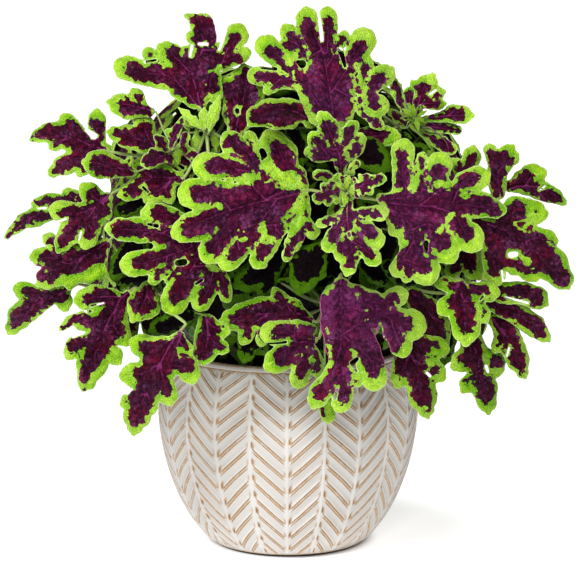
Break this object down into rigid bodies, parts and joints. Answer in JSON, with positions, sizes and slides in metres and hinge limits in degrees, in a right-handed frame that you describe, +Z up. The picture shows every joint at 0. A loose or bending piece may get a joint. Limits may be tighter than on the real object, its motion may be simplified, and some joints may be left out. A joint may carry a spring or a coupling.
{
  "type": "potted coleus",
  "caption": "Bushy coleus with deeply lobed burgundy leaves edged in lime green, growing in a bowl-shaped off-white ceramic planter with a herringbone relief.",
  "frame": {"origin": "centre of the pot's flat base, which is also the bottom centre of the whole part", "axes": "+Z up, the plant's best side faces -Y, +X to its right"},
  "size_m": [0.4232, 0.4249, 0.4218],
  "materials": {
    "pot": "satin",
    "soil": "matte",
    "stem": "satin",
    "leaf": "satin"
  },
  "bodies": {
    "root": {"pot": "pot", "potting_soil": "soil", "leaf_rosU": "leaf", "leaf_frontC": "leaf", "leaf_topC": "leaf", "leaf_rightC": "leaf", "leaf_bigL": "leaf", "leaf_shelfC": "leaf", "leaf_shelfL": "leaf", "leaf_midL": "leaf", "leaf_shield": "leaf", "leaf_rightB": "leaf", "leaf_lowL1": "leaf", "leaf_lowL2": "leaf", "leaf_leftM": "leaf", "leaf_upL1": "leaf", "leaf_leftB": "leaf", "leaf_farL": "leaf", "leaf_farL2": "leaf", "leaf_upL4": "leaf", "leaf_midUL": "leaf", "leaf_midUL2": "leaf", "leaf_farL3": "leaf", "leaf_rightU": "leaf", "leaf_rightU2": "leaf", "leaf_rightM1": "leaf", "leaf_rightM2": "leaf", "leaf_rightL1": "leaf", "leaf_lowR2": "leaf", "leaf_lowR1": "leaf", "leaf_midC": "leaf", "leaf_upM": "leaf", "leaf_inR3": "leaf", "shoot_T1": "stem", "shoot_T2": "stem", "shoot_T3": "stem", "shoot_T4": "stem", "shoot_T5": "stem", "shoot_T6": "stem", "shoot_T7": "stem", "shoot_T8": "stem", "shoot_T9": "stem", "shoot_B1": "stem", "shoot_B2": "stem", "shoot_B3": "stem", "shoot_B4": "stem", "shoot_B5": "stem", "shoot_B6": "stem", "shoot_B7": "stem", "shoot_B8": "stem", "shoot_B9": "stem", "shoot_B10": "stem", "shoot_B11": "stem"}
  },
  "joints": []
}
